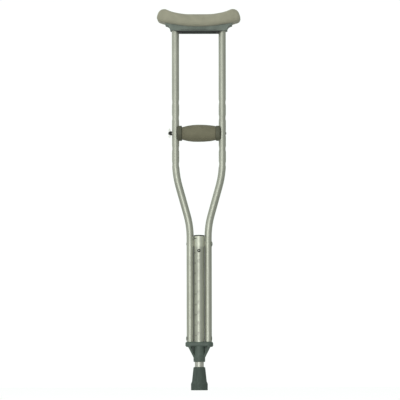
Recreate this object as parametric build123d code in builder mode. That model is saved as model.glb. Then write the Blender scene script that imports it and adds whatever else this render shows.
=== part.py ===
"""Underarm crutch with a push-button leg and a bolted handgrip.

Millimetres. +Z is up and +X is to the right of someone who faces the crutch's push button, so the
front faces -Y. The origin is on the floor, at the middle of the rubber tip's sole. The leg is
modelled fully in, with its button in the highest hole.
"""

from build123d import *

import os
from math import cos, radians, tan

# ---------------------------------------------------------------- driving dimensions
OVERALL_HEIGHT = 937.0  # leg fully in, sole to the pad's horns

# Aluminium tubes: outside diameter and wall
UPRIGHT_OD = 17.7
CENTRE_OD = 26.0
LEG_OD = 22.2
TUBE_WALL = 1.2
CENTRE_WALL = 1.6

# Uprights: parallel above, drawn in by two bends, parallel again beside the centre tube
UPPER_SPREAD = 57.6  # centre line of an upright to the middle, beside the handgrip
LOWER_SPREAD = 22.15  # the same beside the centre tube
TAPER_ANGLE = 15.6  # lean of the stretch between the two bends
LOWER_BEND_Z = 405.2
BEND_RADII = (200.0, 220.0)  # lower bend, upper bend
UPRIGHT_TOP_Z = 903.0

# Handgrip height holes, each pressed into a dimple on both sides of the tube
GRIP_Z = 633.5
GRIP_PITCH = 38.1
GRIP_HOLES = 5
DIMPLE_RADIUS = 20.0
DIMPLE_DEPTH = 1.5

# Leg adjustment: one button hole an inch, from the highest position down
BUTTON_Z = 343.4
BUTTON_PITCH = 25.4
BUTTON_HOLES = 9
BUTTON_RADIUS = 3.0
BUTTON_DOME = 2.0
BUTTON_PROUD = 2.3  # dome's top above the centre tube's surface

# Leaf spring behind the button, a folded strip inside the leg tube
LEAF = (8.0, 0.8)  # width, thickness
LEAF_Y = -9.0  # outer face of the leaf that carries the button
LEAF_TOP = 5.0  # its end above the button's middle
LEAF_SHOULDER = 12.0  # straight part below the button's middle
LEAF_FOLD_Z = 298.0
LEAF_FOLD_RADIUS = 2.4

# Yoke that ends the three tubes and guides the leg
YOKE_TOP_Z = 119.5
YOKE_FLANGE = 12.5  # height of the flange
YOKE_HALF_WIDTH = 34.1
YOKE_DEPTH = 30.0
YOKE_CORNER = 12.0
YOKE_EDGE = 4.0
YOKE_BOTTOM_Z = 70.0
SLEEVE_RADIUS = 14.4
SLEEVE_EDGE = 1.5
SPIGOT_LENGTH = 22.0
GUSSET_THICKNESS = 8.0
GUSSET_RIB = (5.0, 17.0, 31.0)  # width, depth front to back at its foot and at its top
GUSSET_INSET = 0.3  # ribs' faces behind the flange's
GUSSET_TOP_HALF = 27.3
GUSSET_FOOT_Z = 81.2

# Rivets
RIVET_SHANK = 3.0  # cross rivet's shank radius
CROSS_RIVET_Z = 360.8
CROSS_RIVET_HEAD = (6.4, 2.3)  # radius, height
CROSS_RIVET_TAIL = (3.6, 0.9)
YOKE_RIVET_Z = 127.7
YOKE_RIVET_REACH = 11.0  # from the upright's outer wall into the spigot, clear of the leg's bore
YOKE_RIVET_HEADS = {-1: (6.0, 1.8), 1: (6.0, 0.8)}  # left, right: radius, height
PILOT_RADIUS = 2.0  # yoke rivets' and saddle screws' shanks

# Centre tube, its cap and the spacers that fill the gaps beside it
CENTRE_TOP_Z = 379.4
CENTRE_SEAT = 6.0  # depth that the tube sinks into the yoke
CAP_RIM = 2.4
CAP_CROWN = 1.0
CAP_PLUG = (12.0, 2.0)  # depth, wall
SPACER = (9.0, 12.0, 13.0)  # width, depth, height

# Leg and rubber tip
LEG_TOP_Z = 354.0
TIP_HEIGHT = 57.4
TIP_NECK_RADIUS = 14.4
TIP_WAIST = (18.25, 21.7)  # radius, height
TIP_FOOT = (20.7, 16.0)
TIP_SHOULDER = 2.5  # roundings
TIP_LIP = 2.6
TIP_SOLE_EDGE = 1.6
TIP_RINGS = (8.0, 12.5, 17.0)  # middle radii of the grooves in the sole
TIP_GROOVE = (2.0, 2.5)  # width, depth
TIP_FLOOR = 12.0  # rubber under the steel washer
TIP_WASHER = 2.0

# Saddle: a moulded channel under the pad, with a socket for each upright
SEAT_Z = 894.0  # lowest point of its top, which is a wide arc
SEAT_RADIUS = 380.0
SEAT_ANGLE = 11.6  # slope of the straight ends of the arc
SADDLE_HALF = 82.0
SADDLE_DEPTH = 26.0
SADDLE_BOTTOM_Z = 881.3
SADDLE_LIP = 3.9  # thickness of the flared ends at their tips
FLARE_POINT = (74.8, 896.4)  # on the curve under a flared end
FLARE_ROOT = (70.3, 890.6)  # where that curve meets the socket's outer wall
SOCKET_RIM_Z = 886.5  # lower edge of that wall
SOCKET_WALL = 3.2
SOCKET_ROOF = 3.2
SOCKET_BOSS_TOP_Z = 906.5
SADDLE_RECESS = (89.0, 3.0, 2.0)  # groove along the front and the back: length, height, depth
SADDLE_RECESS_Z = 886.4
SADDLE_HOLLOW = (84.0, 19.0, 8.0)  # from below, between the sockets: length, width, depth
TONGUE = (88.0, 8.0, 11.0)  # rib that locates the pad: length, thickness, height
CORNER = 3.0  # roundings of recess, hollow and tongue in plan

# Screws through the saddle's back wall into the uprights
SADDLE_SCREW_Z = 889.5
SADDLE_SCREW_LENGTH = 9.0
SADDLE_SCREW_HEAD = (3.8, 2.4)  # radius, height
SADDLE_SCREW_EDGE = 1.2

# Underarm pad
PAD_DEPTH = 48.0
PAD_EDGE = 9.0
PAD_HORN_CORNER = 6.1  # the horn's corner above its rounded top
PAD_OUTLINE = [  # right half, from the middle of the top round to the end: x, z, rounding
    (34.0, 923.7, 150.0),
    (66.0, 929.8, 80.0),
    (93.8, OVERALL_HEIGHT + PAD_HORN_CORNER, 16.0),
    (105.8, 909.8, 10.0),
]
PAD_HEEL = (81.0, 40.0)  # x, rounding where the underside leaves the seat
PAD_CLEARANCE = 0.3

# Handgrip
FOAM_HALF = 42.0
FOAM_END_RADIUS = 16.0
FOAM_MID_RADIUS = 20.9
CORE_RADIUS = 11.0
COLLAR_RADIUS = 18.5
COLLAR_HALF = 52.2  # outer end of the collar's cradle, from the middle
COLLAR_EDGE = 1.2

# Grip bolt, washer and wing nut: M5
BOLT_RADIUS = 2.5
BOLT_SEAT = 8.0  # head's bearing face, from the upright's axis
BOLT_HEAD = (4.6, 2.1)  # radius, height
BOLT_END_X = -76.0
BOLT_POINT = 0.6
WASHER = (5.0, 1.0)  # radius, thickness
NUT_HUB = (5.2, 3.0, 8.0)  # base radius, top radius, length
WING_OUTLINE = [  # one wing, root to tip and back: distance from the nut's face, height
    (2.0, 4.6),
    (3.6, 9.6),
    (6.2, 11.6),
    (8.4, 9.2),
    (8.0, 3.2),
]
WING_THICKNESS = 2.0

# Fits: radial play
RUNNING_FIT = 0.05
SLIP_FIT = 0.075
HOLE_PLAY = 0.2
BUTTON_PLAY = 0.6  # between the button and its holes in the centre tube
TIP_FIT = 0.02

OVERLAP = 1.0  # extra length of cutters and of bosses that start inside a body

# ---------------------------------------------------------------- derived sizes
upright_r = UPRIGHT_OD / 2
centre_r = CENTRE_OD / 2
leg_r = LEG_OD / 2
upper_bend_z = LOWER_BEND_Z + (UPPER_SPREAD - LOWER_SPREAD) / tan(radians(TAPER_ANGLE))
grip_levels = [GRIP_Z + GRIP_PITCH * (i - (GRIP_HOLES - 1) / 2) for i in range(GRIP_HOLES)]
button_levels = [BUTTON_Z - BUTTON_PITCH * i for i in range(BUTTON_HOLES)]
yoke_under_z = YOKE_TOP_Z - YOKE_FLANGE
lower_outer_x = LOWER_SPREAD + upright_r
SIDES = (-1, 1)
seat_vertex_z = SEAT_Z - SEAT_RADIUS * (1 / cos(radians(SEAT_ANGLE)) - 1)  # where the slopes would meet


def seat_rise_z(x):
    """Height of the seat's straight ends, which the pad's underside carries on past the saddle."""
    return seat_vertex_z + x * tan(radians(SEAT_ANGLE))


def along_x(x, y, z, way=1):
    """Plane at a point, facing +X or -X, for holes and turned pieces that lie across the crutch."""
    return Plane(origin=(x, y, z), x_dir=(0, 1, 0), z_dir=(way, 0, 0))


def along_y(x, y, z, way=1):
    """Plane at a point, facing +Y or -Y, for holes and pieces that run from front to back."""
    return Plane(origin=(x, y, z), x_dir=(1, 0, 0), z_dir=(0, way, 0))


def dome(base, radius, height):
    """A spherical head on a flat bearing face; the base plane's normal points out of the head."""
    sphere_radius = (radius**2 + height**2) / (2 * height)
    with BuildPart(base) as head:
        with Locations((0, 0, height - sphere_radius)):
            Sphere(sphere_radius)
        split(bisect_by=base, keep=Keep.TOP)
    return head


# ---------------------------------------------------------------- uprights
def upright_path(side):
    with BuildLine(Plane.XZ) as path:
        FilletPolyline(
            (side * LOWER_SPREAD, YOKE_TOP_Z),
            (side * LOWER_SPREAD, LOWER_BEND_Z),
            (side * UPPER_SPREAD, upper_bend_z),
            (side * UPPER_SPREAD, UPRIGHT_TOP_Z),
            radius=BEND_RADII,
        )
    return path.wire()


def bent_rod(side, radius, dimple_radius):
    """A round bar along the upright's centre line, with the ten dimples pressed into it."""
    dimple_x = upright_r - DIMPLE_DEPTH + DIMPLE_RADIUS
    with BuildPart() as rod:
        with BuildSketch(Plane.XY.offset(YOKE_TOP_Z)):
            with Locations((side * LOWER_SPREAD, 0)):
                Circle(radius)
        sweep(path=upright_path(side))
        for level in grip_levels:
            with Locations(*[(side * UPPER_SPREAD + s * dimple_x, 0, level) for s in SIDES]):
                Sphere(dimple_radius, mode=Mode.SUBTRACT)
    return rod


def upright(side):
    bore = bent_rod(side, upright_r - TUBE_WALL, DIMPLE_RADIUS + TUBE_WALL)
    with BuildPart() as tube:
        add(bent_rod(side, upright_r, DIMPLE_RADIUS))
        add(bore, mode=Mode.SUBTRACT)
        for level in grip_levels:
            with BuildSketch(along_x(side * UPPER_SPREAD, 0, level)):
                Circle(BOLT_RADIUS + HOLE_PLAY)
            extrude(amount=UPRIGHT_OD, both=True, mode=Mode.SUBTRACT)
        with BuildSketch(along_x(side * LOWER_SPREAD, 0, CROSS_RIVET_Z)):
            Circle(RIVET_SHANK + HOLE_PLAY)
        extrude(amount=UPRIGHT_OD, both=True, mode=Mode.SUBTRACT)
        with BuildSketch(along_x(side * lower_outer_x, 0, YOKE_RIVET_Z)):
            Circle(PILOT_RADIUS)
        extrude(amount=upright_r / 2, both=True, mode=Mode.SUBTRACT)
        with BuildSketch(along_y(side * UPPER_SPREAD, upright_r, SADDLE_SCREW_Z)):
            Circle(PILOT_RADIUS)
        extrude(amount=upright_r / 2, both=True, mode=Mode.SUBTRACT)
    return tube


left_upright = upright(-1)
right_upright = upright(1)

# ---------------------------------------------------------------- centre tube and its cap
with BuildPart() as centre_tube:
    with BuildSketch(Plane.XY.offset(YOKE_TOP_Z - CENTRE_SEAT)):
        Circle(centre_r)
        Circle(centre_r - CENTRE_WALL, mode=Mode.SUBTRACT)
    extrude(amount=CENTRE_TOP_Z - YOKE_TOP_Z + CENTRE_SEAT)
    for level in button_levels:
        with BuildSketch(along_y(0, -centre_r, level)):
            Circle(BUTTON_RADIUS + BUTTON_PLAY)
        extrude(amount=centre_r / 2, both=True, mode=Mode.SUBTRACT)
    with BuildSketch(along_x(0, 0, CROSS_RIVET_Z)):
        Circle(RIVET_SHANK + HOLE_PLAY)
    extrude(amount=CENTRE_OD, both=True, mode=Mode.SUBTRACT)

cap_plug_radius = centre_r - CENTRE_WALL - SLIP_FIT

with BuildPart() as centre_tube_cap:
    with BuildSketch(Plane.XY.offset(CENTRE_TOP_Z)):
        Circle(centre_r)
    extrude(amount=CAP_RIM)
    add(dome(Plane.XY.offset(CENTRE_TOP_Z + CAP_RIM), centre_r, CAP_CROWN))
    with BuildSketch(Plane.XY.offset(CENTRE_TOP_Z)):
        Circle(cap_plug_radius)
        Circle(cap_plug_radius - CAP_PLUG[1], mode=Mode.SUBTRACT)
    extrude(amount=-CAP_PLUG[0])

# ---------------------------------------------------------------- cross rivet and its spacers
with BuildPart() as cross_rivet:
    with BuildSketch(along_x(-lower_outer_x, 0, CROSS_RIVET_Z)):
        Circle(RIVET_SHANK)
    extrude(amount=2 * lower_outer_x)
    add(dome(along_x(lower_outer_x, 0, CROSS_RIVET_Z), *CROSS_RIVET_HEAD))
    add(dome(along_x(-lower_outer_x, 0, CROSS_RIVET_Z, way=-1), *CROSS_RIVET_TAIL))

spacer_middle_x = (centre_r + LOWER_SPREAD - upright_r) / 2

with BuildPart() as tube_spacers:
    for side in SIDES:
        with BuildSketch(Plane.XY.offset(CROSS_RIVET_Z - SPACER[2] / 2)):
            with Locations((side * spacer_middle_x, 0)):
                Rectangle(SPACER[0], SPACER[1])
            Circle(centre_r + RUNNING_FIT, mode=Mode.SUBTRACT)
            with Locations((side * LOWER_SPREAD, 0)):
                Circle(upright_r + RUNNING_FIT, mode=Mode.SUBTRACT)
        extrude(amount=SPACER[2])
    with BuildSketch(along_x(0, 0, CROSS_RIVET_Z)):
        Circle(RIVET_SHANK + HOLE_PLAY)
    extrude(amount=CENTRE_OD, both=True, mode=Mode.SUBTRACT)

# ---------------------------------------------------------------- yoke
def gusset_rib(side):
    """Rib along a gusset's slanting edge, deeper front to back towards the flange."""
    width, foot_depth, top_depth = GUSSET_RIB
    top_z = yoke_under_z + YOKE_EDGE
    with BuildPart() as rib:
        with BuildSketch(Plane.XZ):
            with BuildLine():
                Polyline(
                    (side * (SLEEVE_RADIUS - width), GUSSET_FOOT_Z),
                    (side * SLEEVE_RADIUS, GUSSET_FOOT_Z),
                    (side * GUSSET_TOP_HALF, top_z),
                    (side * (GUSSET_TOP_HALF - width), top_z),
                    close=True,
                )
            make_face()
        extrude(amount=YOKE_DEPTH / 2, both=True)
        with BuildSketch(Plane.YZ):
            with BuildLine():
                Polyline(
                    (-foot_depth / 2, GUSSET_FOOT_Z),
                    (foot_depth / 2, GUSSET_FOOT_Z),
                    (top_depth / 2, top_z),
                    (-top_depth / 2, top_z),
                    close=True,
                )
            make_face()
        extrude(amount=YOKE_HALF_WIDTH, both=True, mode=Mode.INTERSECT)
        with BuildSketch(Plane.XY.offset(GUSSET_FOOT_Z)):
            RectangleRounded(
                2 * (YOKE_HALF_WIDTH - GUSSET_INSET),
                YOKE_DEPTH - 2 * GUSSET_INSET,
                YOKE_CORNER - GUSSET_INSET,
            )
        extrude(amount=top_z - GUSSET_FOOT_Z, mode=Mode.INTERSECT)
    return rib


with BuildPart() as yoke:
    with BuildSketch(Plane.XY.offset(yoke_under_z)):
        RectangleRounded(2 * YOKE_HALF_WIDTH, YOKE_DEPTH, YOKE_CORNER)
    extrude(amount=YOKE_FLANGE)
    fillet(yoke.faces().sort_by(Axis.Z)[-1].edges(), radius=YOKE_EDGE)
    fillet(yoke.faces().sort_by(Axis.Z)[0].edges(), radius=YOKE_EDGE)
    with BuildSketch(Plane.XY.offset(YOKE_BOTTOM_Z)):
        Circle(SLEEVE_RADIUS)
    extrude(amount=YOKE_TOP_Z - YOKE_BOTTOM_Z - YOKE_FLANGE / 2)
    fillet(yoke.faces().sort_by(Axis.Z)[0].edges(), radius=SLEEVE_EDGE)
    with BuildSketch(Plane.XZ):
        with BuildLine():
            Polyline(
                (-SLEEVE_RADIUS, GUSSET_FOOT_Z),
                (-GUSSET_TOP_HALF, yoke_under_z),
                (GUSSET_TOP_HALF, yoke_under_z),
                (SLEEVE_RADIUS, GUSSET_FOOT_Z),
                close=True,
            )
        make_face()
    extrude(amount=GUSSET_THICKNESS / 2, both=True)
    for side in SIDES:
        add(gusset_rib(side))
    for side in SIDES:
        with BuildSketch(Plane.XY.offset(YOKE_TOP_Z - OVERLAP)):
            with Locations((side * LOWER_SPREAD, 0)):
                Circle(upright_r - TUBE_WALL - SLIP_FIT)
        extrude(amount=SPIGOT_LENGTH + OVERLAP)
        with BuildSketch(along_x(side * (lower_outer_x - YOKE_RIVET_REACH), 0, YOKE_RIVET_Z)):
            Circle(PILOT_RADIUS)
        extrude(amount=side * YOKE_RIVET_REACH, mode=Mode.SUBTRACT)
    with BuildSketch(Plane.XY.offset(YOKE_TOP_Z - CENTRE_SEAT)):
        Circle(centre_r + RUNNING_FIT)
    extrude(amount=SPIGOT_LENGTH * 2, mode=Mode.SUBTRACT)
    with BuildSketch(Plane.XY.offset(YOKE_BOTTOM_Z - OVERLAP)):
        Circle(leg_r + RUNNING_FIT)
    extrude(amount=YOKE_TOP_Z - YOKE_BOTTOM_Z + 2 * OVERLAP, mode=Mode.SUBTRACT)

# Short rivets that hold the uprights to the yoke's spigots; neither reaches the leg's bore
with BuildPart() as yoke_rivets:
    for side, head in YOKE_RIVET_HEADS.items():
        with BuildSketch(along_x(side * lower_outer_x, 0, YOKE_RIVET_Z)):
            Circle(PILOT_RADIUS)
        extrude(amount=-side * YOKE_RIVET_REACH)
        add(dome(along_x(side * lower_outer_x, 0, YOKE_RIVET_Z, way=side), *head))

# ---------------------------------------------------------------- leg: tube, tip and washer
leg_bottom_z = TIP_FLOOR + TIP_WASHER

with BuildPart() as leg_tube:
    with BuildSketch(Plane.XY.offset(leg_bottom_z)):
        Circle(leg_r)
        Circle(leg_r - TUBE_WALL, mode=Mode.SUBTRACT)
    extrude(amount=LEG_TOP_Z - leg_bottom_z)
    with BuildSketch(along_y(0, -leg_r, BUTTON_Z)):
        Circle(BUTTON_RADIUS + 2 * RUNNING_FIT)
    extrude(amount=leg_r / 2, both=True, mode=Mode.SUBTRACT)

with BuildPart() as rubber_tip:
    with BuildSketch(Plane.XZ):
        with BuildLine():
            Polyline(
                (0, TIP_FLOOR),
                (0, 0),
                (TIP_FOOT[0], 0),
                TIP_FOOT,
                TIP_WAIST,
                (TIP_NECK_RADIUS, TIP_HEIGHT),
                (leg_r + TIP_FIT, TIP_HEIGHT),
                (leg_r + TIP_FIT, TIP_FLOOR),
                close=True,
            )
        make_face()
    revolve(axis=Axis.Z)
    circles = rubber_tip.edges().filter_by(GeomType.CIRCLE)
    fillet(circles.group_by(Axis.Z)[-1].sort_by(SortBy.RADIUS)[-1], radius=TIP_LIP)
    fillet(circles.filter_by_position(Axis.Z, TIP_FOOT[1], TIP_FOOT[1]), radius=TIP_SHOULDER)
    fillet(circles.group_by(Axis.Z)[0], radius=TIP_SOLE_EDGE)
    with BuildSketch(Plane.XY):
        for ring in TIP_RINGS:
            Circle(ring + TIP_GROOVE[0] / 2)
            Circle(ring - TIP_GROOVE[0] / 2, mode=Mode.SUBTRACT)
    extrude(amount=TIP_GROOVE[1], mode=Mode.SUBTRACT)

with BuildPart() as tip_washer:
    with BuildSketch(Plane.XY.offset(TIP_FLOOR)):
        Circle(leg_r - HOLE_PLAY)
    extrude(amount=TIP_WASHER)

# ---------------------------------------------------------------- push button and its spring
button_top_y = -(centre_r + BUTTON_PROUD)
button_shoulder_y = button_top_y + BUTTON_DOME

with BuildPart() as push_button:
    with BuildSketch(along_y(0, LEAF_Y, BUTTON_Z, way=-1)):
        Circle(BUTTON_RADIUS)
    extrude(amount=LEAF_Y - button_shoulder_y)
    add(dome(along_y(0, button_shoulder_y, BUTTON_Z, way=-1), BUTTON_RADIUS, BUTTON_DOME))

leaf_middle_y = LEAF_Y + LEAF[1] / 2

with BuildPart() as button_spring:
    with BuildLine(Plane.YZ) as leaf_path:
        FilletPolyline(
            (leaf_middle_y, BUTTON_Z + LEAF_TOP),
            (leaf_middle_y, BUTTON_Z - LEAF_SHOULDER),
            (0, LEAF_FOLD_Z),
            (-leaf_middle_y, BUTTON_Z - LEAF_SHOULDER),
            (-leaf_middle_y, BUTTON_Z + LEAF_TOP),
            radius=LEAF_FOLD_RADIUS,
        )
    with BuildSketch(Plane.XY.offset(BUTTON_Z + LEAF_TOP)):
        with Locations((0, leaf_middle_y)):
            Rectangle(*LEAF)
    sweep(path=leaf_path.wire())

# ---------------------------------------------------------------- saddle and its screws
socket_boss_r = upright_r + SLIP_FIT + SOCKET_WALL
seat_end_z = seat_rise_z(SADDLE_HALF)

with BuildPart() as underarm_saddle:
    with BuildSketch(Plane.XZ):
        with BuildLine():
            FilletPolyline(
                (-SADDLE_HALF, seat_end_z),
                (0, seat_vertex_z),
                (SADDLE_HALF, seat_end_z),
                radius=SEAT_RADIUS,
            )
            for side in SIDES:
                Line((side * SADDLE_HALF, seat_end_z), (side * SADDLE_HALF, seat_end_z - SADDLE_LIP))
                ThreePointArc(
                    (side * SADDLE_HALF, seat_end_z - SADDLE_LIP),
                    (side * FLARE_POINT[0], FLARE_POINT[1]),
                    (side * FLARE_ROOT[0], FLARE_ROOT[1]),
                )
                Polyline(
                    (side * FLARE_ROOT[0], FLARE_ROOT[1]),
                    (side * FLARE_ROOT[0], SOCKET_RIM_Z),
                    (side * (UPPER_SPREAD - upright_r), SADDLE_BOTTOM_Z),
                    (0, SADDLE_BOTTOM_Z),
                )
        make_face()
    extrude(amount=SADDLE_DEPTH / 2, both=True)

    for side in SIDES:
        with BuildSketch(along_y(0, side * SADDLE_DEPTH / 2, SADDLE_RECESS_Z)):
            RectangleRounded(SADDLE_RECESS[0], SADDLE_RECESS[1], SADDLE_RECESS[1] / 2 - RUNNING_FIT)
        extrude(amount=-side * SADDLE_RECESS[2], mode=Mode.SUBTRACT)
    with BuildSketch(Plane.XY.offset(SADDLE_BOTTOM_Z)):
        RectangleRounded(SADDLE_HOLLOW[0], SADDLE_HOLLOW[1], CORNER)
    extrude(amount=SADDLE_HOLLOW[2], mode=Mode.SUBTRACT)

    # the tongue and the sockets' bosses reach up into the pad
    with BuildSketch(Plane.XY.offset(SEAT_Z - OVERLAP)):
        RectangleRounded(TONGUE[0], TONGUE[1], CORNER)
    extrude(amount=TONGUE[2] + OVERLAP)
    for side in SIDES:
        with BuildSketch(Plane.XY.offset(SEAT_Z)):
            with Locations((side * UPPER_SPREAD, 0)):
                Circle(socket_boss_r)
        extrude(amount=SOCKET_BOSS_TOP_Z - SEAT_Z)
        with BuildSketch(Plane.XY.offset(SADDLE_BOTTOM_Z - OVERLAP)):
            with Locations((side * UPPER_SPREAD, 0)):
                Circle(upright_r + SLIP_FIT)
        extrude(amount=SOCKET_BOSS_TOP_Z - SOCKET_ROOF - SADDLE_BOTTOM_Z + OVERLAP, mode=Mode.SUBTRACT)
        with BuildSketch(along_y(side * UPPER_SPREAD, SADDLE_DEPTH / 2, SADDLE_SCREW_Z)):
            Circle(PILOT_RADIUS)
        extrude(amount=-upright_r / 2, mode=Mode.SUBTRACT)

with BuildPart() as saddle_screws:
    for side in SIDES:
        with BuildSketch(along_y(side * UPPER_SPREAD, SADDLE_DEPTH / 2, SADDLE_SCREW_Z)):
            Circle(PILOT_RADIUS)
        extrude(amount=-SADDLE_SCREW_LENGTH)
        with BuildSketch(along_y(side * UPPER_SPREAD, SADDLE_DEPTH / 2, SADDLE_SCREW_Z)):
            Circle(SADDLE_SCREW_HEAD[0])
        extrude(amount=SADDLE_SCREW_HEAD[1])
    rims = saddle_screws.faces().sort_by(Axis.Y)[-2:].edges()
    fillet(rims, radius=SADDLE_SCREW_EDGE)

# ---------------------------------------------------------------- underarm pad
pad_corners = [
    *PAD_OUTLINE,
    (PAD_HEEL[0], seat_rise_z(PAD_HEEL[0]) + PAD_CLEARANCE, PAD_HEEL[1]),
]
seat_vertex = (0.0, seat_vertex_z + PAD_CLEARANCE, SEAT_RADIUS)
pad_loop = [*pad_corners, seat_vertex, *[(-x, z, r) for x, z, r in reversed(pad_corners)]]

with BuildPart() as underarm_pad:
    with BuildSketch(Plane.XZ):
        with BuildLine():
            FilletPolyline([(x, z) for x, z, r in pad_loop], radius=[r for x, z, r in pad_loop], close=True)
        make_face()
    extrude(amount=PAD_DEPTH / 2, both=True)
    faces_front_and_back = underarm_pad.faces().filter_by(Axis.Y)
    fillet(faces_front_and_back.edges(), radius=PAD_EDGE)
    with BuildSketch(Plane.XY.offset(SEAT_Z - OVERLAP)):
        RectangleRounded(TONGUE[0] + 2 * PAD_CLEARANCE, TONGUE[1] + 2 * PAD_CLEARANCE, CORNER)
    extrude(amount=TONGUE[2] + OVERLAP + PAD_CLEARANCE, mode=Mode.SUBTRACT)
    for side in SIDES:
        with BuildSketch(Plane.XY.offset(SEAT_Z - OVERLAP)):
            with Locations((side * UPPER_SPREAD, 0)):
                Circle(socket_boss_r + PAD_CLEARANCE)
        extrude(amount=SOCKET_BOSS_TOP_Z - SEAT_Z + OVERLAP + PAD_CLEARANCE, mode=Mode.SUBTRACT)

# ---------------------------------------------------------------- handgrip
grip_axis = Axis((0, 0, GRIP_Z), (1, 0, 0))

with BuildPart() as handgrip_foam:
    with BuildSketch(Plane.XZ):
        with BuildLine():
            ThreePointArc(
                (-FOAM_HALF, GRIP_Z + FOAM_END_RADIUS),
                (0, GRIP_Z + FOAM_MID_RADIUS),
                (FOAM_HALF, GRIP_Z + FOAM_END_RADIUS),
            )
            Polyline(
                (FOAM_HALF, GRIP_Z + FOAM_END_RADIUS),
                (FOAM_HALF, GRIP_Z + CORE_RADIUS + RUNNING_FIT),
                (-FOAM_HALF, GRIP_Z + CORE_RADIUS + RUNNING_FIT),
                (-FOAM_HALF, GRIP_Z + FOAM_END_RADIUS),
            )
        make_face()
    revolve(axis=grip_axis)

with BuildPart() as handgrip_core:
    with BuildSketch(along_x(-FOAM_HALF, 0, GRIP_Z)):
        Circle(CORE_RADIUS)
        Circle(BOLT_RADIUS + RUNNING_FIT, mode=Mode.SUBTRACT)
    extrude(amount=2 * FOAM_HALF)


def grip_collar(side):
    """End collar whose outer face cradles the upright, so that the grip can't turn."""
    with BuildPart() as collar:
        with BuildSketch(along_x(side * FOAM_HALF, 0, GRIP_Z)):
            Circle(COLLAR_RADIUS)
            Circle(BOLT_RADIUS + RUNNING_FIT, mode=Mode.SUBTRACT)
        extrude(amount=side * (COLLAR_HALF - FOAM_HALF))
        fillet(collar.edges().filter_by(GeomType.CIRCLE).sort_by(SortBy.RADIUS)[-2:], radius=COLLAR_EDGE)
        with BuildSketch(Plane.XY.offset(GRIP_Z - 2 * COLLAR_RADIUS)):
            with Locations((side * UPPER_SPREAD, 0)):
                Circle(upright_r + RUNNING_FIT)
        extrude(amount=4 * COLLAR_RADIUS, mode=Mode.SUBTRACT)
    return collar


left_grip_collar = grip_collar(-1)
right_grip_collar = grip_collar(1)

# ---------------------------------------------------------------- grip bolt, washer and wing nut
bolt_head_x = UPPER_SPREAD + BOLT_SEAT
washer_x = -(UPPER_SPREAD + BOLT_SEAT)
nut_x = washer_x - WASHER[1]

with BuildPart() as grip_bolt:
    with BuildSketch(along_x(BOLT_END_X, 0, GRIP_Z)):
        Circle(BOLT_RADIUS)
    extrude(amount=bolt_head_x - BOLT_END_X)
    chamfer(grip_bolt.edges().filter_by(GeomType.CIRCLE).sort_by(Axis.X)[0], length=BOLT_POINT)
    add(dome(along_x(bolt_head_x, 0, GRIP_Z), *BOLT_HEAD))

with BuildPart() as grip_washer:
    with BuildSketch(along_x(washer_x, 0, GRIP_Z)):
        Circle(WASHER[0])
        Circle(BOLT_RADIUS + RUNNING_FIT, mode=Mode.SUBTRACT)
    extrude(amount=-WASHER[1])

with BuildPart() as wing_nut:
    with BuildSketch(Plane.XZ):
        with BuildLine():
            Polyline(
                (nut_x, GRIP_Z),
                (nut_x, GRIP_Z + NUT_HUB[0]),
                (nut_x - NUT_HUB[2], GRIP_Z + NUT_HUB[1]),
                (nut_x - NUT_HUB[2], GRIP_Z),
                close=True,
            )
        make_face()
    revolve(axis=grip_axis)
    for side in SIDES:
        wing = [(nut_x - out, GRIP_Z + side * up) for out, up in WING_OUTLINE]
        with BuildSketch(Plane.XZ):
            with BuildLine():
                Line(wing[0], wing[1])
                ThreePointArc(wing[1], wing[2], wing[3])
                Polyline(wing[3], wing[4], (wing[4][0], GRIP_Z), (wing[0][0], GRIP_Z), wing[0])
            make_face()
        extrude(amount=WING_THICKNESS / 2, both=True)
    with BuildSketch(along_x(nut_x + OVERLAP, 0, GRIP_Z)):
        Circle(BOLT_RADIUS + RUNNING_FIT)
    extrude(amount=-3 * NUT_HUB[2], mode=Mode.SUBTRACT)

# ---------------------------------------------------------------- write every piece
pieces = {
    "underarm_pad": underarm_pad,
    "underarm_saddle": underarm_saddle,
    "saddle_screws": saddle_screws,
    "left_upright": left_upright,
    "right_upright": right_upright,
    "handgrip_foam": handgrip_foam,
    "handgrip_core": handgrip_core,
    "left_grip_collar": left_grip_collar,
    "right_grip_collar": right_grip_collar,
    "grip_bolt": grip_bolt,
    "grip_washer": grip_washer,
    "wing_nut": wing_nut,
    "centre_tube": centre_tube,
    "centre_tube_cap": centre_tube_cap,
    "cross_rivet": cross_rivet,
    "tube_spacers": tube_spacers,
    "yoke": yoke,
    "yoke_rivets": yoke_rivets,
    "leg_tube": leg_tube,
    "push_button": push_button,
    "button_spring": button_spring,
    "rubber_tip": rubber_tip,
    "tip_washer": tip_washer,
}

os.makedirs("parts", exist_ok=True)
for name, piece in pieces.items():
    piece.part.label = name
    export_step(piece.part, f"parts/{name}.step")
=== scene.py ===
"""Looks for the underarm crutch: materials for its metal and moulded parts, the foam pad and grip
as finished meshes, printed height marks, soft studio light and the camera. Metres throughout."""

import math

import bmesh
import bpy
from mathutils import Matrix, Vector
from mathutils import noise


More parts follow.
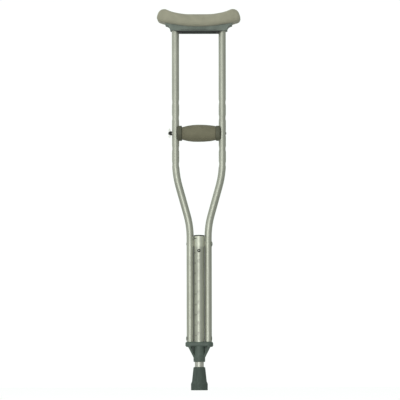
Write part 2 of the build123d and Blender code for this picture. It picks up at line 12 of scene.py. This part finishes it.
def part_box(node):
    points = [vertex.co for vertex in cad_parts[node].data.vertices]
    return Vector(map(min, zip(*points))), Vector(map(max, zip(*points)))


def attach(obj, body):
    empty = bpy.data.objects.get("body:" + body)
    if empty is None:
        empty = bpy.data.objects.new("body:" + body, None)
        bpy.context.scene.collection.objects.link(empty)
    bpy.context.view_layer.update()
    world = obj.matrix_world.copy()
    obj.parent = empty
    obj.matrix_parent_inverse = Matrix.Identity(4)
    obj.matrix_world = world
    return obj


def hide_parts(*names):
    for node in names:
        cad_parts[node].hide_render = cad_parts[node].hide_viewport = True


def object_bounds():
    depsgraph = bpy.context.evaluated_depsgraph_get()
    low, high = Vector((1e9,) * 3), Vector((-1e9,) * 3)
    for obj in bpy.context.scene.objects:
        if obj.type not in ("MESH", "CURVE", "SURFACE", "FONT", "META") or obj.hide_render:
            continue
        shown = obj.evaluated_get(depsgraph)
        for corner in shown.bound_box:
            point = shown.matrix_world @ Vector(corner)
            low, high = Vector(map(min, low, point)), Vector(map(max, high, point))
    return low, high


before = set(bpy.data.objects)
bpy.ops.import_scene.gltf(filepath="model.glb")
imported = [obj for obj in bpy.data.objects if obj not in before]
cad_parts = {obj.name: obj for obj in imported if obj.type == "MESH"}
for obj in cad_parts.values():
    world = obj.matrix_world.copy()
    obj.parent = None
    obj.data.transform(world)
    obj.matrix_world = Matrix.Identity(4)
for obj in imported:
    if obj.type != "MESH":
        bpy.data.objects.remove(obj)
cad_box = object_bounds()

MM = 0.001
NOISE_ROUGHNESS = 0.55


# ---------------------------------------------------------------- node trees
class Material:
    """A material under construction: add() makes a shader node and wires or sets its inputs."""

    def __init__(self, name):
        self.data = bpy.data.materials.new(name)
        self.data.use_nodes = True
        self.tree = self.data.node_tree
        self.tree.nodes.clear()
        self.place = self.add("TexCoord").outputs["Object"]

    def add(self, kind, settings=None, **inputs):
        node = self.tree.nodes.new("ShaderNode" + kind)
        for key, value in (settings or {}).items():
            setattr(node, key, value)
        for key, value in inputs.items():
            self.put(node.inputs[key.replace("_", " ")], value)
        return node

    def put(self, socket, value):
        if isinstance(value, bpy.types.NodeSocket):
            self.tree.links.new(value, socket)
        else:
            socket.default_value = value

    def scaled(self, x, y, z):
        """Object coordinates stretched along the axes, for grain that runs one way."""
        return self.add("Mapping", Vector=self.place, Scale=(x, y, z)).outputs["Vector"]

    def noise(self, scale, detail=3.0, distortion=0.0, vector=None):
        node = self.add(
            "TexNoise",
            Vector=vector or self.place,
            Scale=scale,
            Detail=detail,
            Roughness=NOISE_ROUGHNESS,
            Distortion=distortion,
        )
        return node.outputs["Fac"]

    def cells(self, scale):
        return self.add("TexVoronoi", Vector=self.place, Scale=scale).outputs["Distance"]

    def remap(self, value, low, high, to_low=0.0, to_high=1.0):
        node = self.add("MapRange", Value=value, From_Min=low, From_Max=high, To_Min=to_low, To_Max=to_high)
        return node.outputs["Result"]

    def maths(self, operation, a, b=0.0):
        node = self.add("Math", {"operation": operation})
        self.put(node.inputs[0], a)
        self.put(node.inputs[1], b)
        return node.outputs[0]

    def distance(self, first, second):
        """Distance from an axis, out of the two offsets from it."""
        squares = [self.maths("MULTIPLY", offset, offset) for offset in (first, second)]
        return self.maths("SQRT", self.maths("ADD", *squares))

    def mix(self, amount, first, second):
        """Colour mix; first and second are linear RGB triples or sockets."""
        node = self.add("Mix", {"data_type": "RGBA"})
        self.put(node.inputs["Factor"], amount)
        for socket, value in ((node.inputs[6], first), (node.inputs[7], second)):
            self.put(socket, (*value, 1.0) if isinstance(value, tuple) else value)
        return node.outputs[2]

    def tinge(self, colour, other, mask, amount):
        """The colour, with an amount of another one where the mask is 1."""
        return self.mix(self.maths("MULTIPLY", mask, amount), colour, other)

    def edges(self, radius):
        """1 along convex and concave edges within radius, 0 on open faces."""
        bevel = self.add("Bevel", {"samples": 4}, Radius=radius).outputs["Normal"]
        normal = self.add("NewGeometry").outputs["Normal"]
        dot = self.add("VectorMath", {"operation": "DOT_PRODUCT"})
        self.put(dot.inputs[0], bevel)
        self.put(dot.inputs[1], normal)
        open_face, full_edge = 0.995, 0.9  # cosines between the true and the rounded-off normal
        return self.remap(dot.outputs["Value"], open_face, full_edge)

    def axis(self, letter):
        """One of the object coordinates."""
        return self.add("SeparateXYZ", Vector=self.place).outputs[letter]

    def bump(self, height, distance, strength):
        return self.add("Bump", Strength=strength, Distance=distance, Height=height).outputs["Normal"]

    def finish(self, **inputs):
        shader = self.add("BsdfPrincipled", **inputs)
        self.add("OutputMaterial", Surface=shader.outputs["BSDF"])
        return self.data


def srgb(*display):
    """Linear RGB from 8-bit display values."""

    def linear(value):
        share = value / 255
        return ((share + 0.055) / 1.055) ** 2.4 if value > 10 else share / 12.92

    return tuple(linear(value) for value in display)


def toned(tint, factor, lift=0.0):
    """A tint made darker or paler, and no brighter than white."""
    return tuple(min(1.0, c * factor + lift) for c in tint)


def middle_of(node):
    low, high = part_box(node)
    return (low + high) / 2


# ---------------------------------------------------------------- materials
def anodised_aluminium(name, tint, roughness=0.44, above=None, joints=None, shade_ring=None):
    """Satin anodised tube: fine drawing lines along its length, faint handling smudges, bright edges.
    above: height from which the tube is of another tone, with its factor and the added roughness;
    joints: distance either side of the middle where tubes touch, and height up to which they do, for
    the painted shade between them; shade_ring: height and radius of the painted shade round the button."""
    m = Material(name)
    lines = m.noise(1.0, detail=4.0, vector=m.scaled(3200, 3200, 14))
    clouds = m.noise(22.0, detail=2.0)
    smudge = m.noise(65.0, detail=5.0, distortion=0.6)
    scratches = m.remap(m.noise(1.0, detail=2.0, vector=m.scaled(900, 900, 60)), 0.72, 0.76)
    wear = m.edges(0.5 * MM)
    bare = toned(tint, 1.14)
    colour = m.mix(m.remap(clouds, 0.35, 0.65), toned(tint, 0.92), tint)
    colour = m.tinge(colour, bare, scratches, 0.3)
    colour = m.tinge(colour, bare, wear, 0.5)
    rough = m.maths(
        "ADD",
        m.remap(lines, 0.3, 0.7, -0.03, 0.03),
        m.remap(smudge, 0.35, 0.7, roughness, roughness + 0.06),
    )
    if above:
        height, factor, rougher = above
        fade = 6 * MM
        zone = m.remap(m.axis("Z"), height, height + fade)
        colour = m.mix(zone, colour, toned(tint, factor))
        rough = m.maths("ADD", rough, m.maths("MULTIPLY", zone, rougher))
    if joints:
        place, top = joints
        edge, core, fade = 1.7 * MM, 0.3 * MM, 12 * MM
        # painted shade: the tubes are darkened along the lines where they touch, below the centre tube's
        # top
        from_joint = m.maths("ABSOLUTE", m.maths("SUBTRACT", m.maths("ABSOLUTE", m.axis("X")), place))
        beside = m.remap(from_joint, edge, core)
        below_top = m.remap(m.axis("Z"), top, top - fade)
        colour = m.tinge(colour, toned(tint, 0.12), m.maths("MULTIPLY", beside, below_top), 0.8)
    if shade_ring:
        height, radius = shade_ring
        fade = 0.8 * MM
        # painted shade: a dark ring round the button's hole, on the tube and on the leg behind it
        from_button = m.distance(m.maths("SUBTRACT", m.axis("Z"), height), m.axis("X"))
        painted_shade = m.remap(from_button, radius, radius - fade)
        colour = m.tinge(colour, toned(tint, 0.1), painted_shade, 0.85)
    return m.finish(
        Base_Color=colour,
        Metallic=1.0,
        Roughness=rough,
        Normal=m.bump(lines, 0.02 * MM, 0.12),
    )


def plated_steel(name, tint, roughness=0.28):
    """Small plated hardware: bright, slightly pitted, worn on its edges."""
    m = Material(name)
    pits = m.noise(1500.0, detail=4.0)
    clouds = m.noise(180.0, detail=3.0)
    wear = m.edges(0.35 * MM)
    colour = m.mix(m.remap(clouds, 0.35, 0.65), toned(tint, 0.78), tint)
    colour = m.tinge(colour, toned(tint, 1.25), wear, 0.5)
    return m.finish(
        Base_Color=colour,
        Metallic=1.0,
        Roughness=m.remap(clouds, 0.3, 0.7, roughness, roughness + 0.12),
        Normal=m.bump(pits, 0.03 * MM, 0.4),
    )


def turned_steel(name, tint, node, along, dark_radius, bright_radius, roughness=0.3, taper=0.0):
    """Plated steel piece round an axis of its own, painted dark and unmetallic at one distance from it and
    plated at another: painted shade.
    taper: how fast those distances shrink away from the piece's inner end."""
    m = Material(name)
    offsets = [
        m.maths("SUBTRACT", m.axis(letter), centre)
        for letter, centre in zip("XYZ", middle_of(node))
        if letter != along
    ]
    from_axis = m.distance(*offsets)
    pits = m.noise(1300.0, detail=4.0)
    if taper:
        inner_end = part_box(node)[1]["XYZ".index(along)]
        outwards = m.maths("SUBTRACT", inner_end, m.axis(along))
        from_axis = m.maths("ADD", from_axis, m.maths("MULTIPLY", outwards, taper))
    unevenness = 0.3 * MM
    ragged = m.maths("ADD", m.maths("MULTIPLY", m.noise(420.0), unevenness), from_axis)
    # painted shade: black and non-metallic on one side of the threshold radius, plated steel on the other
    unshaded = m.remap(ragged, dark_radius, bright_radius)
    return m.finish(
        Base_Color=m.mix(unshaded, toned(tint, 0.03), tint),
        Metallic=unshaded,
        Specular_IOR_Level=m.maths("MULTIPLY", unshaded, 0.5),
        Roughness=m.remap(pits, 0.3, 0.7, roughness, roughness + 0.15),
        Normal=m.bump(pits, 0.03 * MM, 0.4),
    )


def moulded_plastic(name, tint, roughness=0.42, grain=0.05 * MM, rubbed=0.45, gloss=0.5, dark_below=None):
    """Injection moulding: spark-eroded grain, slight flow clouds, rubbed edges, painted shade below a
    height.
    """
    m = Material(name)
    fine = m.noise(1100.0, detail=3.0)
    clouds = m.noise(38.0, detail=3.0, distortion=0.8)
    rubs = m.remap(m.noise(1.0, detail=3.0, vector=m.scaled(420, 420, 90)), 0.62, 0.72)
    wear = m.edges(0.8 * MM)
    paler = toned(tint, 1.9, lift=0.01)
    colour = m.mix(m.remap(clouds, 0.3, 0.7), toned(tint, 0.8), toned(tint, 1.15))
    colour = m.tinge(colour, paler, wear, rubbed)
    colour = m.tinge(colour, paler, rubs, 0.12)
    if dark_below:
        # painted shade: nearly black below the given height
        fade = 1 * MM
        painted_shade = m.remap(m.axis("Z"), dark_below, dark_below - fade)
        colour = m.mix(painted_shade, colour, toned(tint, 0.04))
    return m.finish(
        Base_Color=colour,
        Roughness=m.remap(fine, 0.3, 0.7, roughness, roughness + 0.12),
        Specular_IOR_Level=gloss,
        Normal=m.bump(fine, grain, 0.5),
    )


def worn_rubber(name, tint):
    """Tip rubber: dull, faint mould lines, dust and scuffs that thicken towards the floor."""
    m = Material(name)
    fine = m.noise(800.0, detail=4.0)
    flow = m.noise(1.0, detail=3.0, vector=m.scaled(240, 240, 30))
    scuff = m.remap(m.noise(160.0, detail=5.0, distortion=1.2), 0.5, 0.7)
    scuffed_height = 26 * MM
    low = m.remap(m.axis("Z"), scuffed_height, 0.0)
    wear = m.edges(0.9 * MM)
    dust = toned(tint, 2.2, lift=0.02)
    colour = m.mix(m.remap(flow, 0.3, 0.7), toned(tint, 0.78), toned(tint, 1.12))
    colour = m.tinge(colour, dust, m.maths("MULTIPLY", scuff, low), 0.4)
    colour = m.tinge(colour, dust, wear, 0.35)
    return m.finish(
        Base_Color=colour,
        Roughness=m.remap(fine, 0.3, 0.7, 0.55, 0.72),
        Specular_IOR_Level=0.4,
        Normal=m.bump(fine, 0.10 * MM, 0.5),
    )


def foam_skin(name, tint, pore, sheen=0.25, mottle=0.12):
    """Moulded foam: a closed matt skin with shallow pores and soft mottling."""
    m = Material(name)
    pores = m.remap(m.cells(1.0 / pore), 0.0, 0.35)
    grain = m.noise(0.9 / pore, detail=4.0)
    clouds = m.noise(45.0, detail=4.0, distortion=0.5)
    relief = m.maths("ADD", m.maths("MULTIPLY", pores, 0.6), grain)
    colour = m.mix(m.remap(clouds, 0.3, 0.7), toned(tint, 1 - 2 * mottle), toned(tint, 1 + mottle))
    # pores darkened: painted shade in them
    colour = m.mix(m.remap(pores, 0.5, 0.0, 0.0, 0.35), colour, toned(tint, 0.6))
    return m.finish(
        Base_Color=colour,
        Roughness=m.remap(grain, 0.3, 0.7, 0.62, 0.8),
        Specular_IOR_Level=0.35,
        Sheen_Weight=sheen,
        Sheen_Roughness=0.5,
        Normal=m.bump(relief, 0.12 * MM, 0.6),
    )


def printed_ink(name, tint):
    """Matt print with small gaps where it has worn thin."""
    m = Material(name)
    gaps = m.remap(m.noise(2600.0, detail=2.0), 0.62, 0.7)
    return m.finish(Base_Color=m.mix(gaps, tint, toned(tint, 3)), Roughness=0.55)


tube_tint = srgb(202, 205, 190)
# where the centre tube meets the uprights, and how high: painted shade along these joints
tube_joint_shade = (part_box("centre_tube")[1].x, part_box("centre_tube")[1].z)
# height and radius of the painted shade round the button
button_shade_ring = (middle_of("push_button").z, 4.4 * MM)

finishes = {
    "tube": anodised_aluminium("tube_finish", tube_tint, joints=tube_joint_shade),
    "centre": anodised_aluminium(
        "centre_finish",
        tube_tint,
        # above 350 mm the tube is paler and a little rougher: the paler tint is a painted highlight
        above=(350 * MM, 1.3, 0.04),
        joints=tube_joint_shade,
        shade_ring=button_shade_ring,
    ),
    "leg": anodised_aluminium(
        "leg_finish",
        # the leg's paler tint is a painted highlight on its lower end; above 84 mm it is toned back to the
        # tube's
        srgb(220, 222, 210),
        roughness=0.42,
        above=(84 * MM, 0.84, 0.06),
        # painted shade round the button, on the leg seen through the hole
        shade_ring=button_shade_ring,
    ),
    "moulding": moulded_plastic("moulding_finish", srgb(97, 111, 101)),
    # the saddle: the moulding's plastic in a paler tint, painted light; below 884.5 mm painted shade
    "saddle": moulded_plastic("saddle_finish", srgb(128, 139, 129), dark_below=884.5 * MM),
    "steel": plated_steel("steel_finish", srgb(205, 206, 200)),
    # the wing nut's hub is painted dark: painted shade
    "nut": turned_steel("nut_finish", srgb(208, 210, 204), "wing_nut", "X", 5.4 * MM, 6.6 * MM, taper=0.3),
    # the push button's rim is painted dark: painted shade on the dome's flanks
    "button": turned_steel("button_finish", srgb(236, 238, 226), "push_button", "Y", 1.9 * MM, 1.4 * MM),
    "rivet": plated_steel("rivet_finish", srgb(222, 226, 216), roughness=0.42),
    "spring": plated_steel("spring_finish", srgb(105, 108, 115), roughness=0.34),
    "cap": moulded_plastic("cap_finish", srgb(20, 21, 16), roughness=0.75, rubbed=0.1, gloss=0.15),
    "spacer": moulded_plastic("spacer_finish", srgb(150, 150, 134)),
    "core": moulded_plastic("core_finish", srgb(52, 52, 48)),
    "collar": moulded_plastic("collar_finish", srgb(103, 104, 86), roughness=0.55, grain=0.08 * MM),
    "rubber": worn_rubber("rubber_finish", srgb(87, 100, 91)),
    "pad": foam_skin("pad_finish", srgb(185, 183, 160), 1.1 * MM, mottle=0.05),
    "grip": foam_skin("grip_finish", srgb(139, 136, 112), 0.8 * MM, sheen=0.15, mottle=0.08),
    "ink": printed_ink("ink_finish", srgb(92, 94, 82)),
}

node_finish = {
    "underarm_saddle": "saddle",
    "saddle_screws": "steel",
    "left_upright": "tube",
    "right_upright": "tube",
    "handgrip_core": "core",
    "left_grip_collar": "collar",
    "right_grip_collar": "collar",
    "grip_bolt": "steel",
    "grip_washer": "steel",
    "wing_nut": "nut",
    "centre_tube": "centre",
    "centre_tube_cap": "cap",
    "cross_rivet": "rivet",
    "tube_spacers": "spacer",
    "yoke": "moulding",
    "yoke_rivets": "rivet",
    "leg_tube": "leg",
    "push_button": "button",
    "button_spring": "spring",
    "rubber_tip": "rubber",
    "tip_washer": "steel",
    "underarm_pad": "pad",
    "handgrip_foam": "grip",
}


def dress(obj, finish):
    obj.data.materials.clear()
    obj.data.materials.append(finishes[finish])


for node, finish in node_finish.items():
    dress(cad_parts[node], finish)


# ---------------------------------------------------------------- mesh helpers
def put_in_scene(name, data):
    obj = bpy.data.objects.new(name, data)
    bpy.context.scene.collection.objects.link(obj)
    return obj


def mesh_object(name, bm, finish, smooth=True):
    mesh = bpy.data.meshes.new(name)
    bm.normal_update()
    bm.to_mesh(mesh)
    bm.free()
    obj = put_in_scene(name, mesh)
    for polygon in mesh.polygons:
        polygon.use_smooth = smooth
    dress(obj, finish)
    return obj


def rectangle(half_width, half_height):
    """A flat rectangle round the origin, on the XY plane."""
    bm = bmesh.new()
    corners = ((-1, -1), (1, -1), (1, 1), (-1, 1))
    bm.faces.new([bm.verts.new((x * half_width, y * half_height, 0)) for x, y in corners])
    return bm


def apply_modifier(obj, kind, **settings):
    modifier = obj.modifiers.new(kind.lower(), kind)
    for key, value in settings.items():
        setattr(modifier, key, value)
    evaluated = obj.evaluated_get(bpy.context.evaluated_depsgraph_get())
    mesh = bpy.data.meshes.new_from_object(evaluated)
    materials = list(obj.data.materials)
    obj.modifiers.clear()
    obj.data = mesh
    mesh.materials.clear()
    for material in materials:
        mesh.materials.append(material)


def smooth_step(t):
    t = min(1.0, max(0.0, t))
    return t * t * (3 - 2 * t)


# ---------------------------------------------------------------- soft parts
def build_pad():
    """The pad's foam: the CAD block remeshed, crowned over the top and narrowed towards its horns."""
    low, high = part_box("underarm_pad")
    middle_z = (low.z + high.z) / 2
    half_length = (high.x - low.x) / 2
    half_depth = (high.y - low.y) / 2
    crown = 1.6 * MM
    crown_start = 0.6  # where the crowned top passes through the CAD's, from the pad's edge at 0
    taper_start = 64 * MM
    horn_taper = 0.2
    bm = bmesh.new()
    bm.from_mesh(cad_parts["underarm_pad"].data)
    pad = mesh_object("foam_pad", bm, "pad")
    apply_modifier(pad, "REMESH", mode="VOXEL", voxel_size=1.8 * MM)
    apply_modifier(pad, "CORRECTIVE_SMOOTH", factor=0.5, iterations=5, use_only_smooth=True)
    for vertex in pad.data.vertices:
        x, y, z = vertex.co
        across = 1 - (y / half_depth) ** 2
        up = max(0.0, (z - middle_z) / (high.z - middle_z))
        vertex.co.z += crown * (across - crown_start) * up
        vertex.co.y *= 1 - horn_taper * smooth_step((abs(x) - taper_start) / (half_length - taper_start))
    for polygon in pad.data.polygons:
        polygon.use_smooth = True
    apply_modifier(pad, "SUBSURF", levels=1, render_levels=1)
    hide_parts("underarm_pad")
    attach(pad, "frame")


def build_grip():
    """The grip's foam sleeve, turned about the bolt's axis with rolled ends."""
    low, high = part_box("handgrip_foam")
    core_low, core_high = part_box("handgrip_core")
    bore = (core_high.z - core_low.z) / 2 + 0.2 * MM
    middle = middle_of("handgrip_foam")
    half = (high.x - low.x) / 2
    belly = (high.z - low.z) / 2
    left_end, right_end = 15.7 * MM, 17.4 * MM
    fullness = 2.3
    roll_radius = 1.8 * MM
    roll_steps = 6
    belly_steps = 28
    right_end_rise = 0.3 * MM
    lump_height = 0.25 * MM
    lumps_per_metre = 90
    segments = 72

    turns = [math.pi / 2 * i / roll_steps for i in range(roll_steps + 1)]
    rolled = [(roll_radius * (1 - math.sin(a)), roll_radius * (1 - math.cos(a))) for a in turns]
    profile = [(-half, bore)]
    profile += [(-half + inset, left_end - drop) for inset, drop in rolled[::-1]]
    for i in range(1, belly_steps):
        t = -1 + 2 * i / belly_steps
        end = left_end if t < 0 else right_end
        profile.append((t * (half - roll_radius), end + (belly - end) * (1 - abs(t) ** fullness)))
    profile += [(half - inset, right_end - drop) for inset, drop in rolled]
    profile.append((half, bore))

    bm = bmesh.new()
    rings = []
    for x, radius in profile:
        ring = []
        for k in range(segments):
            angle = 2 * math.pi * k / segments
            point = Vector((x, radius * math.cos(angle), radius * math.sin(angle)))
            lump = noise.noise(point * lumps_per_metre) * lump_height
            point.y += lump * math.cos(angle)
            point.z += lump * math.sin(angle) + right_end_rise * x / half
            ring.append(bm.verts.new(middle + point))
        rings.append(ring)
    for first, second in zip(rings, rings[1:] + rings[:1]):
        for k in range(segments):
            n = (k + 1) % segments
            bm.faces.new((first[k], second[k], second[n], first[n]))
    bmesh.ops.recalc_face_normals(bm, faces=bm.faces)
    grip = mesh_object("foam_grip", bm, "grip")
    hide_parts("handgrip_foam")
    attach(grip, "frame")


# ---------------------------------------------------------------- height marks on the centre tube
def flat_text(text, size):
    """Some numerals as a flat mesh on the XY plane."""
    curve = bpy.data.curves.new("numerals", "FONT")
    curve.body = text
    curve.size = size
    curve.align_x = "CENTER"
    curve.align_y = "CENTER"
    holder = put_in_scene("numerals", curve)
    mesh = bpy.data.meshes.new_from_object(holder.evaluated_get(bpy.context.evaluated_depsgraph_get()))
    bpy.data.objects.remove(holder)
    return mesh


def bend_round(bm, radius, angle, height):
    """Wrap flat geometry round the tube, its middle at an angle from the front and at a height."""
    step = 0.7 * MM
    reach = max(abs(vertex.co.x) for vertex in bm.verts)
    for i in range(-int(reach / step), int(reach / step) + 1):
        cut = bm.verts[:] + bm.edges[:] + bm.faces[:]
        bmesh.ops.bisect_plane(bm, geom=cut, plane_co=(i * step, 0, 0), plane_no=(1, 0, 0))
    for vertex in bm.verts:
        turn = angle + vertex.co.x / radius
        vertex.co = Vector((radius * math.sin(turn), -radius * math.cos(turn), height + vertex.co.y))


def join(bm, others):
    """Move a bmesh's geometry into another one."""
    mesh = bpy.data.meshes.new("joined")
    bm.to_mesh(mesh)
    bm.free()
    others.from_mesh(mesh)


def build_height_marks():
    """Printed numerals, the crutch's height in centimetres with the button in each hole, and a
    short bar near the tube's top."""
    holes = 9
    hole_pitch = 25.4 * MM
    numeral_size = 7.0 * MM
    numeral_drop = 5.6 * MM
    bar_drop = 6.0 * MM
    print_thickness = 0.03 * MM
    low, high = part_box("centre_tube")
    radius = (high.x - low.x) / 2 + print_thickness
    button_z = middle_of("push_button").z
    whole = cad_box[1][2] - cad_box[0][2]
    marks = bmesh.new()
    for i in range(holes):
        bm = bmesh.new()
        bm.from_mesh(flat_text(str(round((whole + i * hole_pitch) * 100)), numeral_size))
        bend_round(bm, radius, math.radians(-50), button_z - i * hole_pitch - numeral_drop)
        join(bm, marks)
    bar = rectangle(4.2 * MM, 0.9 * MM)
    bend_round(bar, radius, math.radians(-46), high.z - bar_drop)
    join(bar, marks)
    piece = mesh_object("height_marks", marks, "ink", smooth=False)
    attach(piece, "frame")


build_pad()
build_grip()
build_height_marks()

# ---------------------------------------------------------------- studio
picture = 0.986  # metres across the frame, at the crutch
picture_middle = Vector((0.0023, 0.0, 0.4691))
eye = Vector((0.200, -4.0, 0.010))  # low, and a little to the right
roll = math.radians(0.10)


def floor():
    """Wide pale floor. The camera sees it only faintly over the white surroundings, so that the
    leg, which slides down through it, stays in sight."""
    half = 12.0
    unseen = 0.96
    m = Material("floor")
    is_camera = m.add("LightPath").outputs["Is Camera Ray"]
    tone = m.noise(1.5, detail=1.0)
    paper = m.add("BsdfDiffuse", Color=m.mix(tone, (0.66, 0.66, 0.65), (0.70, 0.70, 0.69)))
    clear = m.add("BsdfTransparent")
    both = m.add("MixShader", Fac=m.maths("MULTIPLY", is_camera, unseen))
    m.put(both.inputs[1], paper.outputs[0])
    m.put(both.inputs[2], clear.outputs[0])
    m.add("OutputMaterial", Surface=both.outputs[0])
    bm = rectangle(half, half)
    mesh = bpy.data.meshes.new("floor")
    bm.to_mesh(mesh)
    bm.free()
    mesh.materials.append(m.data)
    put_in_scene("floor", mesh)


def softbox(name, place, target, width, height, power):
    light = bpy.data.lights.new(name, "AREA")
    light.shape = "RECTANGLE"
    light.size = width
    light.size_y = height
    light.energy = power
    obj = put_in_scene(name, light)
    obj.location = place
    obj.rotation_euler = (Vector(target) - Vector(place)).to_track_quat("-Z", "Y").to_euler()


def surroundings():
    """A room that lights the crutch mostly from its left, from below and from the front, and that
    the camera sees as white."""
    brightest_way = (-0.72, -0.25, -0.60)
    dim, bright = 0.36, 0.86
    white = 1.04
    world = bpy.data.worlds.new("studio")
    world.use_nodes = True
    tree = world.node_tree
    place = tree.nodes.new("ShaderNodeTexCoord")
    slope = tree.nodes.new("ShaderNodeVectorMath")
    slope.operation = "DOT_PRODUCT"
    slope.inputs[1].default_value = brightest_way
    tree.links.new(place.outputs["Generated"], slope.inputs[0])
    level = tree.nodes.new("ShaderNodeMapRange")
    level.inputs["From Min"].default_value = -1.0
    level.inputs["From Max"].default_value = 1.0
    level.inputs["To Min"].default_value = dim
    level.inputs["To Max"].default_value = bright
    tree.links.new(slope.outputs["Value"], level.inputs["Value"])
    background = tree.nodes["Background"]
    background.inputs["Color"].default_value = (0.97, 1.0, 0.98, 1)
    seen = tree.nodes.new("ShaderNodeLightPath").outputs["Is Camera Ray"]
    strength = tree.nodes.new("ShaderNodeMix")
    tree.links.new(seen, strength.inputs["Factor"])
    tree.links.new(level.outputs["Result"], strength.inputs["A"])
    strength.inputs["B"].default_value = white
    tree.links.new(strength.outputs["Result"], background.inputs["Strength"])
    bpy.context.scene.world = world


def studio():
    surroundings()
    middle = (0, 0, picture_middle.z)
    softbox("key", place=(-0.55, -3.0, 0.10), target=middle, width=1.3, height=1.6, power=28.5)
    softbox("top", place=(-0.4, -0.8, 2.4), target=middle, width=1.6, height=1.0, power=0.6)
    scene = bpy.context.scene
    scene.view_settings.view_transform = "Standard"
    scene.view_settings.look = "None"


def shift_lens(data, holder, path, amount):
    """A lens shift that holds while the camera stands low at its own place, and is nil from higher
    viewpoints, where it would push the crutch out of the frame. The driver's curve gives the shift
    for the camera's height."""
    underground = -1.0
    curve = data.driver_add(path)
    curve.driver.type = "SUM"
    height = curve.driver.variables.new()
    height.type = "TRANSFORMS"
    height.targets[0].id = holder
    height.targets[0].transform_type = "LOC_Z"
    for modifier in list(curve.modifiers):
        curve.modifiers.remove(modifier)
    for level, shift in ((underground, amount), (2 * eye.z, 0.0)):
        curve.keyframe_points.insert(level, shift).interpolation = "CONSTANT"


def camera():
    """Level camera; the lens is shifted so that the picture plane stays parallel to the crutch."""
    data = bpy.data.cameras.new("camera")
    across = picture_middle - eye
    data.sensor_width = 36.0
    data.lens = data.sensor_width * across.y / picture
    data.clip_end = 50.0
    obj = put_in_scene("camera", data)
    obj.location = eye
    obj.rotation_euler = (math.pi / 2, roll, 0)
    shift_lens(data, obj, "shift_x", (across.x * math.cos(roll) - across.z * math.sin(roll)) / picture)
    shift_lens(data, obj, "shift_y", (across.x * math.sin(roll) + across.z * math.cos(roll)) / picture)
    bpy.context.scene.camera = obj


floor()
studio()
camera()
